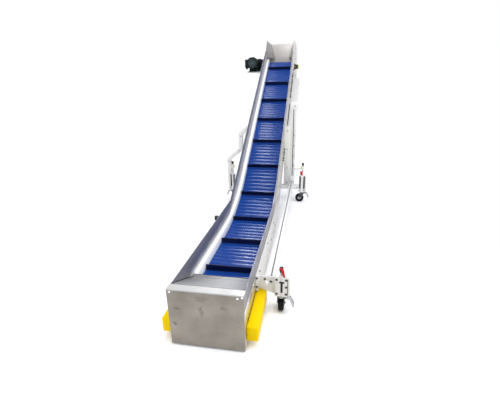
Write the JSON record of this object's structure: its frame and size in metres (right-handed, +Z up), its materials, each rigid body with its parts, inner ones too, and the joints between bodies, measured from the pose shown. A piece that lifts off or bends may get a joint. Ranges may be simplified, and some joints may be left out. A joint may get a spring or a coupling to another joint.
{
  "type": "mobile inclined cleated belt conveyor",
  "caption": "Mobile swan-neck conveyor: level infeed, bend and steep run with a cleated modular belt, drive at the head, on swivel casters.",
  "frame": {"origin": "on the floor, on the centre plane of the belt, under the outer face of the front plate", "axes": "+X across the belt to the right as seen from the infeed, +Y from the infeed to the discharge, +Z up"},
  "size_m": [1.01, 4.2601, 1.9825],
  "materials": {
    "stainless": "brushed",
    "hood_sheet": "brushed",
    "guide_white": "matt",
    "belt_blue": "satin",
    "shaft_steel": "turned",
    "safety_yellow": "gloss paint",
    "frame_white": "powder coat and anodised",
    "motor_green": "painted",
    "bearing_black": "satin",
    "cap_yellow": "satin",
    "black_plastic": "matt",
    "zinc": "zinc plated",
    "wheel_black": "matt"
  },
  "bodies": {
    "frame": {"base_rail_left": "frame_white", "base_rail_right": "frame_white", "bearing_cap": "cap_yellow", "belt": "belt_blue", "belt_guide_left": "guide_white", "belt_guide_right": "guide_white", "bent_leg_left": "frame_white", "caster_bracket_front_left": "frame_white", "caster_bracket_front_right": "frame_white", "caster_bracket_rear_left": "frame_white", "caster_bracket_rear_right": "frame_white", "clamp_post_front_left": "black_plastic", "clamp_post_front_right": "black_plastic", "clamp_post_rear_left": "black_plastic", "clamp_post_rear_right": "black_plastic", "front_arm_right": "frame_white", "front_plate": "stainless", "gearbox": "motor_green", "head_bearing": "bearing_black", "head_shaft": "shaft_steel", "hood_back_plate": "hood_sheet", "hood_side_left": "hood_sheet", "hood_side_right": "hood_sheet", "hood_wing_left": "hood_sheet", "hood_wing_right": "hood_sheet", "infeed_floor": "stainless", "infeed_slope_plate": "stainless", "mast_panel_right": "frame_white", "mast_right": "frame_white", "motor": "motor_green", "motor_shelf": "frame_white", "post_arm_left": "frame_white", "post_arm_right": "frame_white", "rear_crossbeam": "frame_white", "side_rail_left": "frame_white", "side_rail_right": "frame_white", "side_wall_left": "stainless", "side_wall_right": "stainless", "tail_roller": "shaft_steel", "terminal_box": "motor_green", "wall_clamp": "black_plastic", "wall_skirt_left": "stainless", "wall_skirt_right": "stainless", "weight_block_left": "safety_yellow", "weight_block_right": "safety_yellow"},
    "fork_front_right": {"caster_fork_front_right": "zinc"},
    "wheel_front_right": {"caster_wheel_front_right": "wheel_black"},
    "fork_front_left": {"caster_fork_front_left": "zinc"},
    "wheel_front_left": {"caster_wheel_front_left": "wheel_black"},
    "fork_rear_right": {"caster_fork_rear_right": "zinc"},
    "wheel_rear_right": {"caster_wheel_rear_right": "wheel_black"},
    "fork_rear_left": {"caster_fork_rear_left": "zinc"},
    "wheel_rear_left": {"caster_wheel_rear_left": "wheel_black"}
  },
  "joints": [
    {"name": "swivel_front_right", "type": "hinge", "parent": "frame", "child": "fork_front_right", "pos_m": [0.359, 0.36, 0.12], "axis": [0, 0, 1], "continuous": true},
    {"name": "roll_front_right", "type": "hinge", "parent": "fork_front_right", "child": "wheel_front_right", "pos_m": [0.359, 0.388, 0.05], "axis": [1, 0, 0], "continuous": true},
    {"name": "swivel_front_left", "type": "hinge", "parent": "frame", "child": "fork_front_left", "pos_m": [-0.297, 0.49, 0.12], "axis": [0, 0, 1], "continuous": true},
    {"name": "roll_front_left", "type": "hinge", "parent": "fork_front_left", "child": "wheel_front_left", "pos_m": [-0.297, 0.518, 0.05], "axis": [1, 0, 0], "continuous": true},
    {"name": "swivel_rear_right", "type": "hinge", "parent": "frame", "child": "fork_rear_right", "pos_m": [0.425, 2.429, 0.12], "axis": [0, 0, 1], "continuous": true},
    {"name": "roll_rear_right", "type": "hinge", "parent": "fork_rear_right", "child": "wheel_rear_right", "pos_m": [0.397, 2.429, 0.05], "axis": [0, 1, 0], "continuous": true},
    {"name": "swivel_rear_left", "type": "hinge", "parent": "frame", "child": "fork_rear_left", "pos_m": [-0.42, 2.429, 0.12], "axis": [0, 0, 1], "continuous": true},
    {"name": "roll_rear_left", "type": "hinge", "parent": "fork_rear_left", "child": "wheel_rear_left", "pos_m": [-0.42, 2.457, 0.05], "axis": [1, 0, 0], "continuous": true}
  ]
}
